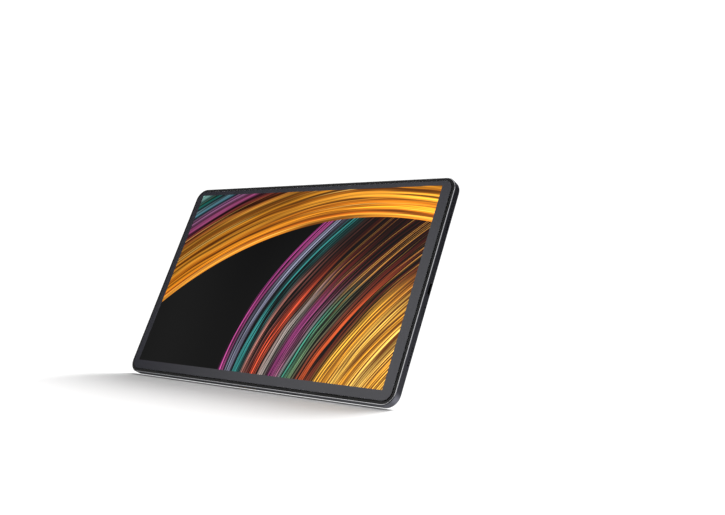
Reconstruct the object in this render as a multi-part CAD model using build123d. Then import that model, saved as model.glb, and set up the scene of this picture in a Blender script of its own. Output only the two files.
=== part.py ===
"""Eleven-inch tablet computer, built as an assembly of separate pieces.

Every piece is drawn with the tablet lying on its back: X along the long side, Y up the screen,
Z from the back (0) to the front glass (7.5), all in millimetres. The last step stands each piece
up in landscape on its long edge: X stays, the screen faces -Y, and Z runs up the screen. The
origin is the middle of the edge it stands on.
"""
import os

from build123d import *

os.makedirs("parts", exist_ok=True)

# ---------------------------------------------------------------- driving dimensions
body_w = 258.4
body_h = 163.0
body_t = 7.5
corner_r = 9.5
half_w = body_w / 2
half_h = body_h / 2

rear_round = 1.8          # rounding of the back edge
floor_t = 0.9             # back wall
wall_t = 1.5              # side wall
rim_z = 7.0               # front of the metal rim
rim_w = 0.60              # width of the metal rim beside the black lip
rim_chamfer = 0.45        # polished chamfer round the front
step_z = 6.3              # shelf in the wall that the lip rests on
fit_gap = 0.05            # gap between parts that are dropped in place

seam_y = 33.5             # seam between metal back and antenna cover
seam_gap = 0.08
cover_split_z = 2.2       # the antenna cover reaches this far up the sides

lip_z = 7.1
lip_inner = 2.4           # body edge to the glass
pocket_z = 6.45           # floor of the glass pocket
mask_z = 6.70
glass_z = 6.75
glass_round = 0.5

active_w = 239.6          # lit area
active_h = 147.0
active_x = -1.2           # its middle, since the bezel is narrower on the left and at the top
active_y = 1.6
module_half_w = 122.4     # display module
module_top = 76.0
module_bottom = -77.0
module_wall = 0.6         # rim of the backlight tray
plate_z0 = 4.2            # chassis plate
plate_z1 = 4.5
tray_z1 = 4.62            # floor of the backlight tray
guide_z1 = 5.12           # light guide
film_z1 = 5.42            # optical films
panel_z1 = 6.55           # display panel

port_z = 3.1              # height of everything in the side walls
board_z = (2.05, 2.85)
sub_board_z = (1.1, 1.9)

camera_xy = (-115.2, 67.5)
flash_xy = (-102.9, 67.5)
front_camera_xy = (0.0, 77.7)
front_camera_size = (5.4, 3.0)
front_barrel_r = 1.25
light_sensor_xy = (8.0, 77.7)
light_sensor_size = 2.2
camera_bump = 1.25

speaker_y = 47.0
speaker_hole_r = 0.6
speaker_hole_pitch = 1.9
speaker_hole_count = 7

power_y = 64.5
power_len = 11.0
volume_x = -95.0
volume_len = 22.0
key_height = 1.9
key_proud = 0.35
key_gap = 0.12            # gap round each key in its opening

tray_y = -23.0
tray_cap_len = 15.0
tray_cap_height = 2.2
tray_x0 = 101.5           # inner end of the tray
eject_y = -12.7
lever_arm = 5.0
lever_x = 97.3

usb_depth = 6.3
usb_outer = (8.94, 3.16)
usb_inner = (8.34, 2.56)

pogo_count = 4
pogo_pitch = 4.6
pogo_r = 0.8
dock_x = 45.0
dock_slot = (4.6, 2.2)

battery_y = (-59.0, 23.0)
battery_z = (1.05, 3.95)
chassis_screw_xy = [
    (-100, -72), (-35, -72), (35, -72), (100, -72),
    (-119, 0), (119, 24), (-60, 76.3), (30, 76.3), (95, 76.3),
]
board_screw_xy = [(-92, 42), (-30, 68), (30, 42), (98, 68)]
sub_board_screw_xy = [(98, 4), (98, -33)]
mic_x = (-20.0, 60.0)


# ---------------------------------------------------------------- drawing helpers
def block(x0, x1, y0, y1, z0, z1):
    """Box between two corners."""
    centre = ((x0 + x1) / 2, (y0 + y1) / 2, (z0 + z1) / 2)
    return Pos(*centre) * Box(x1 - x0, y1 - y0, z1 - z0)


def plate(half_x, y0, y1, z0, z1, radius):
    """Flat plate centred in X, with rounded corners."""
    outline = Pos(0, (y0 + y1) / 2, z0) * RectangleRounded(2 * half_x, y1 - y0, radius)
    return extrude(outline, z1 - z0)


def body_plate(inset, z0, z1):
    """Plate with the tablet's outline, moved in by inset all round."""
    return plate(half_w - inset, inset - half_h, half_h - inset, z0, z1, corner_r - inset)


def display_block(half_width, y0, y1, z0, z1):
    """Box of the display module, centred in X on the lit area."""
    return block(active_x - half_width, active_x + half_width, y0, y1, z0, z1)


def disc(xy, radius, z0, z1):
    """Round bar along Z."""
    return Pos(xy[0], xy[1], (z0 + z1) / 2) * Cylinder(radius, z1 - z0)


def bar_x(x0, x1, y, z, radius):
    """Round bar along X."""
    return Pos((x0 + x1) / 2, y, z) * Rot(0, 90, 0) * Cylinder(radius, x1 - x0)


def bar_y(y0, y1, x, z, radius):
    """Round bar along Y."""
    return Pos(x, (y0 + y1) / 2, z) * Rot(90, 0, 0) * Cylinder(radius, y1 - y0)


def stadium_x(x0, x1, y, length, height):
    """Round-ended bar that runs along X and is long in Y."""
    return extrude(Plane.YZ.offset(x0) * Pos(y, port_z) * SlotOverall(length, height), x1 - x0)


def stadium_y(y0, y1, x, length, height):
    """Round-ended bar that runs along Y and is long in X."""
    return extrude(Plane.XZ.offset(-y1) * Pos(x, port_z) * SlotOverall(length, height), y1 - y0)


stand_up = Pos(0, body_t / 2, half_h) * Rot(90, 0, 0)
written = []


def save(name, *solids):
    """Stand the solids up and write them as one named node."""
    placed = [stand_up * solid for piece in solids for solid in piece.solids()]
    shape = placed[0] if len(placed) == 1 else Compound(children=placed)
    shape.label = name
    export_step(shape, f"parts/{name}.step")
    written.append(name)


# ---------------------------------------------------------------- housing and antenna cover
def outer_body():
    """The tablet's solid outline: rounded at the back, chamfered at the front."""
    solid = body_plate(0, 0, rim_z)
    back_edges = solid.faces().sort_by(Axis.Z)[0].edges()
    solid = fillet(back_edges, rear_round)
    front_edges = solid.faces().sort_by(Axis.Z)[-1].edges()
    return chamfer(front_edges, rim_chamfer)


def side_openings():
    """Everything that is cut through the side walls."""
    through = wall_t + 1.5
    cuts = []
    for side in (-1, 1):
        wall = sorted((side * (half_w - through), side * (half_w + 1)))
        for y in (-speaker_y, speaker_y):
            for i in range(speaker_hole_count):
                offset = (i - (speaker_hole_count - 1) / 2) * speaker_hole_pitch
                cuts.append(bar_x(*wall, y + offset, port_z, speaker_hole_r))
    cuts.append(stadium_x(-half_w - 1, through - half_w, power_y,
                          power_len + 2 * key_gap, key_height + 2 * key_gap))
    cuts.append(stadium_y(half_h - through, half_h + 1, volume_x,
                          volume_len + 2 * key_gap, key_height + 2 * key_gap))
    cuts.append(stadium_x(half_w - through, half_w + 1, tray_y,
                          tray_cap_len + 2 * fit_gap, tray_cap_height + 2 * fit_gap))
    cuts.append(stadium_x(half_w - through, half_w + 1, 0,
                          usb_outer[0] + 2 * fit_gap, usb_outer[1] + 2 * fit_gap))
    cuts.append(bar_x(half_w - through, half_w + 1, eject_y, port_z, 0.55))
    cuts.append(stadium_y(-half_h - 1, through - half_h, 0, 18.1, 2.5))
    for x in (-dock_x, dock_x):
        cuts.append(stadium_y(-half_h - 1, through - half_h, x, *dock_slot))
    for x in mic_x:
        cuts.append(bar_y(half_h - through, half_h + 1, x, port_z, 0.45))
    return cuts


def bosses(points, z1, radius):
    """Screw bosses that stand on the back wall."""
    return [disc(xy, radius, floor_t - 0.1, z1) for xy in points]


def boss_holes(points, z1, z0=1.0):
    """Blind screw holes in the bosses."""
    return [disc(xy, 0.75, z0, z1 + 0.1) for xy in points]


def in_cover(xy):
    """True where the back wall belongs to the antenna cover."""
    return xy[1] > seam_y


body = outer_body() - body_plate(wall_t, floor_t, step_z) - body_plate(rim_w, step_z, rim_z + 1)
cover_zone = block(-half_w - 1, half_w + 1, seam_y, half_h + 1, -1, cover_split_z)
bar_half = half_w - wall_t - 0.1
seam_bar = block(-bar_half, bar_half, seam_y - 2, seam_y + 3, floor_t, floor_t + 0.8)
seam_bar += block(-bar_half, bar_half, seam_y - 2, seam_y, floor_t - 0.1, floor_t + 0.8)

rear_housing = body - cover_zone + seam_bar
for boss in bosses([p for p in chassis_screw_xy if not in_cover(p)], plate_z0, 1.9):
    rear_housing += boss
for boss in bosses(sub_board_screw_xy, sub_board_z[0], 1.6):
    rear_housing += boss
for cut in side_openings():
    rear_housing -= cut
for cut in boss_holes([p for p in chassis_screw_xy if not in_cover(p)], plate_z0):
    rear_housing -= cut
for cut in boss_holes(sub_board_screw_xy, sub_board_z[0], 0.5):
    rear_housing -= cut
save("rear_housing", rear_housing)

cover_inset = block(-half_w - 1, half_w + 1, seam_y + seam_gap, half_h + 1,
                    -1, cover_split_z - seam_gap)
antenna_cover = (body & cover_inset) - body_plate(wall_t, floor_t, step_z)
for boss in bosses([p for p in chassis_screw_xy if in_cover(p)], plate_z0, 1.9):
    antenna_cover += boss
for boss in bosses(board_screw_xy, board_z[0], 1.7):
    antenna_cover += boss
for cut in side_openings():
    antenna_cover -= cut
for cut in boss_holes([p for p in chassis_screw_xy if in_cover(p)], plate_z0):
    antenna_cover -= cut
for cut in boss_holes(board_screw_xy, board_z[0]):
    antenna_cover -= cut
antenna_cover -= disc(camera_xy, 6.25, -1, 2)
antenna_cover -= disc(flash_xy, 1.5 + fit_gap, -1, 2)
save("antenna_cover", antenna_cover)


# ---------------------------------------------------------------- mid frame and chassis plate
usb_notch = block(half_w - 8, half_w, -5.4, 5.4, plate_z0 - 1, 5.15)
camera_x, camera_y = front_camera_xy
camera_half_w = front_camera_size[0] / 2
camera_half_h = front_camera_size[1] / 2
front_camera_pocket = block(camera_x - camera_half_w - 0.3, camera_x + camera_half_w + 0.3,
                            module_top + 0.2, camera_y + camera_half_h + 0.1, 3.9, 6.2)
front_camera_pocket += disc(front_camera_xy, front_barrel_r + 0.1, 6.1, lip_z)
sensor_x, sensor_y = light_sensor_xy
sensor_half = light_sensor_size / 2
sensor_pocket = block(sensor_x - sensor_half - 0.3, sensor_x + sensor_half + 0.3,
                      sensor_y - sensor_half - 0.3, sensor_y + sensor_half + 0.3, 5.5, lip_z)

mid_frame = body_plate(wall_t + 0.1, plate_z1, step_z) + body_plate(rim_w + fit_gap, step_z, lip_z)
mid_frame -= Pos(active_x, 0, 0) * plate(module_half_w + 0.4, module_bottom - 0.4, module_top + 0.4,
                                         plate_z1, lip_z, 1.0)
mid_frame -= body_plate(lip_inner - fit_gap, pocket_z, lip_z)
mid_frame -= usb_notch
mid_frame -= front_camera_pocket
mid_frame -= sensor_pocket
save("mid_frame", mid_frame)

chassis_plate = body_plate(wall_t + 0.3, plate_z0, plate_z1)
chassis_plate -= usb_notch
chassis_plate -= front_camera_pocket
chassis_plate -= block(-21, 21, module_bottom - 0.9, module_bottom + 1.0, plate_z0 - 1, plate_z1 + 1)
for xy in chassis_screw_xy:
    chassis_plate -= disc(xy, 0.8, plate_z0 - 1, plate_z1 + 1)
    chassis_plate -= disc(xy, 1.65, plate_z0 + 0.1, plate_z1 + 1)
save("chassis_plate", chassis_plate)


# ---------------------------------------------------------------- cover glass and display
cover_glass = body_plate(lip_inner, glass_z, body_t)
cover_glass = fillet(cover_glass.faces().sort_by(Axis.Z)[-1].edges(), glass_round)
save("cover_glass", cover_glass)

print_inset = lip_inner + 0.3
bezel_mask = body_plate(print_inset, mask_z, glass_z)
bezel_mask -= display_block(active_w / 2, active_y - active_h / 2, active_y + active_h / 2,
                            mask_z - 1, glass_z + 1)
bezel_mask -= disc(front_camera_xy, 0.8, mask_z - 1, glass_z + 1)
bezel_mask -= disc(light_sensor_xy, 0.5, mask_z - 1, glass_z + 1)
save("bezel_mask", bezel_mask)

glass_adhesive = body_plate(print_inset, pocket_z, mask_z)
glass_adhesive -= Pos(active_x, 0, 0) * plate(module_half_w + 0.8, module_bottom - 0.8, module_top + 0.8,
                                              pocket_z - 1, mask_z + 1, 1.5)
glass_adhesive -= front_camera_pocket
glass_adhesive -= sensor_pocket
save("glass_adhesive", glass_adhesive)

guide_y0 = -74.0          # edge of the light guide that the lamps shine into
guide_y1 = module_top - module_wall - 0.1
guide_half_w = module_half_w - module_wall - 0.4
save("optical_adhesive", display_block(guide_half_w, -73.2, module_top - 0.4, panel_z1, mask_z))

panel_split_z = 6.0
panel_half_w = module_half_w - 0.2
panel_y1 = module_top - 0.2
display_panel = display_block(panel_half_w, module_bottom + 0.2, panel_y1, film_z1, panel_split_z)
display_panel += display_block(panel_half_w, guide_y0 - 0.5, panel_y1, panel_split_z, panel_z1)
save("display_panel", display_panel)
save("optical_films", display_block(guide_half_w, guide_y0, guide_y1, guide_z1, film_z1))
save("light_guide", display_block(guide_half_w, guide_y0, guide_y1, tray_z1, guide_z1))

backlight_tray = display_block(module_half_w, module_bottom, module_top, plate_z1, film_z1)
backlight_tray -= display_block(module_half_w - module_wall, module_bottom + module_wall,
                                module_top - module_wall, tray_z1, film_z1 + 1)
save("backlight_tray", backlight_tray)

led_count = 24
led_pitch = 9.6
led_half_w = 1.6
strip_y0 = module_bottom + 1.1
strip_y1 = strip_y0 + 0.3
led_strip = display_block(118, strip_y0, strip_y1, tray_z1, film_z1 - 0.1)
for i in range(led_count):
    led_x = active_x + (i - (led_count - 1) / 2) * led_pitch
    led_strip += block(led_x - led_half_w, led_x + led_half_w, strip_y1, guide_y0 - 0.1,
                       tray_z1, guide_z1 - 0.02)
save("led_strip", led_strip)

flex_t = 0.15
flex_y = module_bottom - 0.3
display_flex = block(-18, 18, flex_y, -75.2, panel_split_z, panel_split_z + flex_t)
display_flex += block(-18, 18, flex_y, flex_y + flex_t, plate_z0 - flex_t, panel_split_z + flex_t)
display_flex += block(-18, 18, flex_y, -62, plate_z0 - flex_t, plate_z0)
save("display_flex", display_flex)

front_camera = block(camera_x - camera_half_w, camera_x + camera_half_w,
                     camera_y - camera_half_h, camera_y + camera_half_h, 4.0, 6.0)
front_camera = fillet(front_camera.edges().filter_by(Axis.Z), 0.4)
front_camera += disc(front_camera_xy, front_barrel_r, 6.0, 6.65)
save("front_camera", front_camera)
save("light_sensor", block(sensor_x - sensor_half, sensor_x + sensor_half,
                           sensor_y - sensor_half, sensor_y + sensor_half, 5.6, 6.3))


# ---------------------------------------------------------------- rear camera and flash
ring_profile_r = 7.0
camera_ring = disc(camera_xy, ring_profile_r, -camera_bump, 0)
camera_ring = fillet(camera_ring.edges().sort_by(Axis.Z)[0], 0.45)
camera_ring += disc(camera_xy, 6.2, 0, 1.1)
camera_ring -= disc(camera_xy, 5.0, -camera_bump - 1, -camera_bump + 0.65)
camera_ring -= disc(camera_xy, 4.2, -camera_bump, 2)
save("camera_ring", camera_ring)

save("camera_glass", disc(camera_xy, 4.95, -camera_bump + 0.15, -camera_bump + 0.65))

lens_barrel = disc(camera_xy, 3.6, -0.45, 1.2) - disc(camera_xy, 2.2, -1, -0.1)
save("lens_barrel", lens_barrel)
lens_element = Pos(camera_xy[0], camera_xy[1], 2.9) * Sphere(3.3)
lens_element = (lens_element & disc(camera_xy, 2.15, -1, -0.1)).solids()[0]
save("lens_element", lens_element)

mx, my = camera_xy
camera_module = block(mx - 5.4, mx + 5.4, my - 5.4, my + 5.4, 1.2, 4.0)
camera_module = fillet(camera_module.edges().filter_by(Axis.Z), 0.6)
save("camera_module", camera_module)

flash_lens = disc(flash_xy, 1.5, -0.05, 1.1)
flash_lens = fillet(flash_lens.edges().sort_by(Axis.Z)[0], 0.12)
save("flash_lens", flash_lens)
fx, fy = flash_xy
save("flash_led", block(fx - 1.0, fx + 1.0, fy - 1.0, fy + 1.0, 1.1, 1.5))


# ---------------------------------------------------------------- side keys
wall_in_x = half_w - wall_t
wall_in_y = half_h - wall_t

power_button = stadium_x(-half_w - key_proud, 0.3 - wall_in_x, power_y, power_len, key_height)
power_button = fillet(power_button.faces().sort_by(Axis.X)[0].edges(), 0.25)
power_button += block(0.15 - wall_in_x, 0.7 - wall_in_x, power_y - 6.6, power_y + 6.6,
                      port_z - 1.0, port_z + 1.0)
power_button += bar_x(0.7 - wall_in_x, 1.5 - wall_in_x, power_y, port_z, 0.7)
save("power_button", power_button)

volume_rocker = stadium_y(wall_in_y - 0.5, half_h + key_proud, volume_x, volume_len, key_height)
volume_rocker = fillet(volume_rocker.faces().sort_by(Axis.Y)[-1].edges(), 0.25)
volume_rocker += block(volume_x - 11.6, volume_x + 11.6, wall_in_y - 0.9, wall_in_y - 0.45,
                       port_z - 1.0, port_z + 1.0)
volume_rocker += disc((volume_x, wall_in_y - 0.4), 0.4, port_z - 1.0, port_z + 1.0)
for side in (-1, 1):
    volume_rocker += bar_y(wall_in_y - 1.7, wall_in_y - 0.9, volume_x + side * 8, port_z, 0.7)
save("volume_rocker", volume_rocker)

switch_x = 1.9 - wall_in_x       # power switch front face
switch_y = wall_in_y - 2.1       # volume switch front face
switch_t = 0.55
side_key_switches = [block(switch_x, switch_x + switch_t, power_y - 1.6, power_y + 1.6, 2.0, 4.1)]
for x in (volume_x - 8, volume_x + 8):
    side_key_switches.append(block(x - 1.6, x + 1.6, switch_y - switch_t, switch_y, 2.0, 4.1))
save("side_key_switches", *side_key_switches)

flex_x = switch_x + switch_t
flex_wall_y = switch_y - switch_t
flex_link_z = board_z[0] - flex_t
side_key_flex = block(flex_x, flex_x + flex_t, 58.5, 70.5, flex_link_z, 4.1)
side_key_flex += block(flex_x, flex_x + 2, 58.5, flex_wall_y - 0.7, flex_link_z, board_z[0])
side_key_flex += block(flex_x, -82, flex_wall_y - 2.2, flex_wall_y, flex_link_z, board_z[0])
side_key_flex += block(-107.5, -82, flex_wall_y - flex_t, flex_wall_y, flex_link_z, 4.1)
side_key_flex += block(-90, -84, 70.5, flex_wall_y - 2, flex_link_z, board_z[0])
save("side_key_flex", side_key_flex)

key_brackets = [
    block(flex_x + flex_t, flex_x + flex_t + 0.4, 58.5, 70.5, board_z[0], 4.1),
    block(-107.5, -82, flex_wall_y - flex_t - 0.4, flex_wall_y - flex_t, board_z[0], 4.1),
]
save("key_brackets", *key_brackets)


# ---------------------------------------------------------------- card tray and eject lever
reader_z1 = 4.1
tray_slot = (2.45, 3.65)
tray_blade_w = 12.8

card_tray = stadium_x(half_w - 0.85, half_w - fit_gap, tray_y, tray_cap_len, tray_cap_height)
card_tray += stadium_x(wall_in_x + 0.1, half_w - 0.85, tray_y, 14.2, 1.5)
card_tray += block(tray_x0, wall_in_x + 0.2, tray_y - tray_blade_w / 2, tray_y + tray_blade_w / 2,
                   2.6, 3.5)
card_tray -= block(103.0, 115.5, tray_y - 4.5, tray_y + 4.5, 2.8, 4)
card_tray -= block(104.0, 114.5, tray_y - 3.7, tray_y + 3.7, 2, 4)
card_tray -= block(117.0, 126.0, tray_y - 5.6, tray_y + 5.6, 2.8, 4)
card_tray -= block(118.0, 125.0, tray_y - 4.8, tray_y + 4.8, 2, 4)
save("card_tray", card_tray)

tray_seal = stadium_x(wall_in_x + 0.15, wall_in_x + 0.6, tray_y, 14.9, 2.1)
tray_seal -= stadium_x(wall_in_x, wall_in_x + 1, tray_y, 14.2, 1.5)
save("tray_seal", tray_seal)

card_reader = block(100.8, 127.2, tray_y - 7.9, tray_y + 7.9, sub_board_z[1], reader_z1)
card_reader -= block(99, 129, tray_y - 6.6, tray_y + 6.6, *tray_slot)
card_reader += block(112, 116, tray_y + 7.8, eject_y + 1.3, sub_board_z[1], reader_z1)
card_reader -= bar_x(111, 117, eject_y, port_z, 0.62)
save("card_reader", card_reader)

rod_end_x = lever_x + 0.65
eject_rod = bar_x(rod_end_x, 127.0, eject_y, port_z, 0.55)
eject_rod = fillet(eject_rod.edges().sort_by(Axis.X)[0], 0.5)
save("eject_rod", eject_rod)

pivot_xy = (lever_x, eject_y - lever_arm)
lever_z = (2.6, 3.6)
eject_lever = block(lever_x - 0.6, lever_x + 0.6, -26, -11.9, *lever_z)
eject_lever += disc(pivot_xy, 1.3, *lever_z)
eject_lever += block(lever_x, lever_x + 0.9, -26, -24, *lever_z)
eject_lever -= disc(pivot_xy, 0.56, 2, 4)
save("eject_lever", eject_lever)
save("lever_pin", disc(pivot_xy, 0.5, sub_board_z[1], 3.95))


# ---------------------------------------------------------------- charging port
usb_x1 = half_w - 0.2
usb_x0 = usb_x1 - usb_depth
usb_shell = stadium_x(usb_x0, usb_x1, 0, *usb_outer)
usb_shell -= stadium_x(usb_x0 + 0.3, usb_x1 + 1, 0, *usb_inner)
save("usb_shell", usb_shell)

usb_tongue = block(usb_x0 + 0.3, usb_x1 - 0.9, -3.35, 3.35, port_z - 0.35, port_z + 0.35)
usb_tongue = fillet(usb_tongue.edges().filter_by(Axis.X), 0.2)
usb_tongue += stadium_x(usb_x0 + 0.3, usb_x0 + 1.2, 0, usb_inner[0], usb_inner[1])
save("usb_tongue", usb_tongue)

usb_gasket = stadium_x(wall_in_x - 0.6, wall_in_x, 0, 10.0, 3.9) - stadium_x(120, 130, 0, *usb_outer)
save("usb_gasket", usb_gasket)


# ---------------------------------------------------------------- docking edge
pogo_carrier = stadium_y(-half_h + 0.15, -wall_in_y, 0, 18.0, 2.4)
pogo_carrier += block(-11, 11, -wall_in_y, -wall_in_y + 2.0, 1.2, 4.1)
pogo_holes = []
pogo_contacts = []
for i in range(pogo_count):
    pogo_x = (i - (pogo_count - 1) / 2) * pogo_pitch
    pogo_holes.append(bar_y(-half_h, -wall_in_y + 1.4, pogo_x, port_z, pogo_r + 0.02))
    pogo_contacts.append(bar_y(-half_h + 0.1, -wall_in_y + 1.3, pogo_x, port_z, pogo_r))
for hole in pogo_holes:
    pogo_carrier -= hole
save("pogo_carrier", pogo_carrier)
save("pogo_contacts", *pogo_contacts)

dock_liners = []
for x in (-dock_x, dock_x):
    liner = block(x - 3.4, x + 3.4, -wall_in_y, -wall_in_y + 2.6, 1.4, 4.1)
    dock_liners.append(liner - stadium_y(-wall_in_y - 1, -wall_in_y + 2.1, x, 4.8, 2.3))
save("dock_slot_liners", *dock_liners)

dock_magnets = [
    block(x - 9, x + 9, -wall_in_y + 0.1, -wall_in_y + 3.1, 1.0, 4.0) for x in (-70, -24, 24, 70)
]
save("dock_magnets", *dock_magnets)


# ---------------------------------------------------------------- speakers and microphones
speaker_meshes = []
for side, side_name in ((-1, "left"), (1, "right")):
    for level, level_name in ((-1, "lower"), (1, "upper")):
        y = level * speaker_y
        xs = sorted((side * 109.5, side * (wall_in_x - 0.25)))
        speaker = block(*xs, y - 10, y + 10, 1.1, 4.0)
        speaker = fillet(speaker.edges().filter_by(Axis.Z), 1.5)
        front = sorted((side * (wall_in_x - 1.6), side * wall_in_x))
        speaker -= stadium_x(*front, y, 13.4, 1.3)
        save(f"speaker_{side_name}_{level_name}", speaker)
        mesh_x = sorted((side * (wall_in_x - 0.22), side * (wall_in_x - 0.02)))
        speaker_meshes.append(stadium_x(*mesh_x, y, 14.4, 1.9))
save("speaker_meshes", *speaker_meshes)

microphones = [
    block(x - 1.9, x + 1.9, wall_in_y - 3.2, wall_in_y - 0.1, 2.0, 4.0) for x in mic_x
]
save("microphones", *microphones)


# ---------------------------------------------------------------- battery and boards
battery_corner = 1.2
for name, x0, x1 in (("battery_cell_left", -108.0, -9.0), ("battery_cell_right", -7.0, 92.0)):
    cell = block(x0, x1, *battery_y, *battery_z)
    cell = fillet(cell.edges().filter_by(Axis.Z), battery_corner)
    save(name, cell)
battery_adhesive = [
    block(x - 14, x + 14, battery_y[0] + 6, battery_y[1] - 6, floor_t, battery_z[0])
    for x in (-84, -36, 18, 66)
]
save("battery_adhesive", *battery_adhesive)

battery_board = block(-48, 30, battery_y[1] + 0.3, battery_y[1] + 7.5, *board_z)
battery_board += block(-16, -2, battery_y[1] + 1.5, 41, board_z[1], board_z[1] + flex_t)
save("battery_board", battery_board)

mainboard = block(-98, 103, 37, 72, *board_z)
mainboard -= block(-99, -82, 58, 73, 2, 3)
for xy in board_screw_xy:
    mainboard -= disc(xy, 0.8, 2, 3)
save("mainboard", mainboard)

can_z1 = 4.05
can_wall = 0.2
shield_cans = []
for x0, x1, y0, y1 in ((-80, -36, 42, 66), (-24, 24, 45, 69), (36, 88, 45, 69)):
    can = block(x0, x1, y0, y1, board_z[1], can_z1)
    can = fillet(can.edges().filter_by(Axis.Z), 0.8)
    inside = block(x0 + can_wall, x1 - can_wall, y0 + can_wall, y1 - can_wall,
                   board_z[1] - 1, can_z1 - can_wall)
    shield_cans.append(can - fillet(inside.edges().filter_by(Axis.Z), 0.6))
save("shield_cans", *shield_cans)
thermal_pads = [
    block(-70, -46, 46, 62, can_z1, plate_z0),
    block(-14, 14, 49, 65, can_z1, plate_z0),
]
save("thermal_pads", *thermal_pads)

sub_board = block(94.5, 127.0, -36, 9, *sub_board_z)
sub_board -= block(usb_x0 - 0.3, 130, -5.6, 5.6, 1, 2)
for xy in sub_board_screw_xy:
    sub_board -= disc(xy, 0.8, 1, 2)
save("sub_board", sub_board)
save("board_link_flex", block(95, 101, 6, 45, sub_board_z[1], board_z[0]))

antenna_flexes = [
    block(-78, -34, 73.0, 74.2, floor_t, floor_t + flex_t),
    block(102, 124, 59, 72, floor_t, floor_t + flex_t),
]
save("antenna_flexes", *antenna_flexes)


def screw(xy, seat_z, head_r, head_t, tip_z):
    """Small machine screw with a cross recess in its head."""
    body_part = disc(xy, head_r, seat_z, seat_z + head_t) + disc(xy, 0.7, tip_z, seat_z)
    depth = head_t * 0.6
    x, y = xy
    top = seat_z + head_t
    recess = block(x - 0.8, x + 0.8, y - 0.16, y + 0.16, top - depth, top + 1)
    recess += block(x - 0.16, x + 0.16, y - 0.8, y + 0.8, top - depth, top + 1)
    return body_part - recess


save("chassis_screws", *[screw(xy, plate_z0 + 0.1, 1.6, 0.18, 1.2) for xy in chassis_screw_xy])
board_screws = [screw(xy, board_z[1], 1.4, 0.45, 1.1) for xy in board_screw_xy]
board_screws += [screw(xy, sub_board_z[1], 1.4, 0.45, 0.6) for xy in sub_board_screw_xy]
save("board_screws", *board_screws)

print(len(written), "nodes written")
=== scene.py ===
import bpy
import numpy as np
from mathutils import Matrix, Vector


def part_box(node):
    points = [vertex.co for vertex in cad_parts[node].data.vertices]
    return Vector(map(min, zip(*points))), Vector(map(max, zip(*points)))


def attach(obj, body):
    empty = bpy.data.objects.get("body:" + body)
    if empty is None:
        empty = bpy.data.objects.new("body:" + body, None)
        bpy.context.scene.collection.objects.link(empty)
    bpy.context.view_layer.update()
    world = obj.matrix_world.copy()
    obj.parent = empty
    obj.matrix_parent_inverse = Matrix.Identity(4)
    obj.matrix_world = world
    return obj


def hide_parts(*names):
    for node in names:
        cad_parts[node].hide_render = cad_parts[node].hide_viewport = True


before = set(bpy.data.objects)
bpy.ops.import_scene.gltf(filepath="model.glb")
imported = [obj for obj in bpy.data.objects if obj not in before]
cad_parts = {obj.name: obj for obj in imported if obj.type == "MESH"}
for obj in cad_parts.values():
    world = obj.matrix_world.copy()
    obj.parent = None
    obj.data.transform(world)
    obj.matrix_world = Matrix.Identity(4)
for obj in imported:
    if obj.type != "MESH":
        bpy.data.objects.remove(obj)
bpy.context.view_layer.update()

# The studio: a white room. The bench is flat behind the tablet and falls away in front of its
# standing edge, so that the upright tablet looks leaned back, as it would in a stand on a desk.
# Soft boxes are painted into the room's reflections, and an area lamp above softens the shadows.
MM = 0.001
housing_low, housing_high = (Vector(corner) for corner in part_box("rear_housing"))
body_middle = (housing_low + housing_high) / 2


def bench_height(y, ridge=2.4 * MM, slope=0.515, easing=1.0 * MM):
    """Half of slope times (d - sqrt(d^2 + easing^2)): a ramp in front of the ridge, flat behind."""
    d = y - ridge
    return 0.5 * slope * (d - np.sqrt(d * d + easing * easing))


def surface(name, points, wrap_u=False, wrap_v=False, cap_start=False, cap_end=False):
    """Mesh of quads over a grid of points with shape (rows, columns, 3), smooth shaded."""
    rows, columns = points.shape[:2]
    index = np.arange(rows * columns).reshape(rows, columns)
    if wrap_u:
        index = np.vstack([index, index[:1]])
    if wrap_v:
        index = np.hstack([index, index[:, :1]])
    corners = (index[:-1, :-1], index[1:, :-1], index[1:, 1:], index[:-1, 1:])
    faces = np.stack([c.ravel() for c in corners], axis=1).tolist()
    if cap_start:
        faces.append(index[0, :columns].tolist())
    if cap_end:
        faces.append(index[rows - 1, :columns][::-1].tolist())
    mesh = bpy.data.meshes.new(name)
    mesh.from_pydata(points.reshape(-1, 3).tolist(), [], faces)
    mesh.polygons.foreach_set("use_smooth", np.ones(len(faces), dtype=bool))
    mesh.update()
    piece = bpy.data.objects.new(name, mesh)
    bpy.context.scene.collection.objects.link(piece)
    return piece


bench_reach = 4.0
crowding = 8.0
across, along = np.meshgrid(
    np.linspace(-bench_reach, bench_reach, 9),
    np.sinh(np.linspace(-crowding, crowding, 161)) * bench_reach / np.sinh(crowding),
)
bench = surface("bench", np.stack([across, along, bench_height(along)], axis=-1))
bench.visible_glossy = False

bench_paper = bpy.data.materials.new("bench_paper")
bench_paper.use_nodes = True
paper_nodes, paper_links = bench_paper.node_tree.nodes, bench_paper.node_tree.links
paper_noise = paper_nodes.new("ShaderNodeTexNoise")
paper_noise.inputs["Scale"].default_value = 3.0
paper_tint = paper_nodes.new("ShaderNodeMix")
paper_tint.data_type = "RGBA"
paper_tint.inputs["A"].default_value = (0.93, 0.93, 0.93, 1)
paper_tint.inputs["B"].default_value = (0.95, 0.95, 0.95, 1)
paper_links.new(paper_noise.outputs["Fac"], paper_tint.inputs["Factor"])
paper_links.new(paper_tint.outputs["Result"], paper_nodes["Principled BSDF"].inputs["Base Color"])
paper_nodes["Principled BSDF"].inputs["Roughness"].default_value = 1.0
paper_nodes["Principled BSDF"].inputs["Specular IOR Level"].default_value = 0.0
bench.data.materials.append(bench_paper)

room = bpy.data.worlds.new("white_room")
bpy.context.scene.world = room
room.use_nodes = True
room_nodes, room_links = room.node_tree.nodes, room.node_tree.links
direction = room_nodes.new("ShaderNodeTexCoord").outputs["Generated"]


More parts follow.
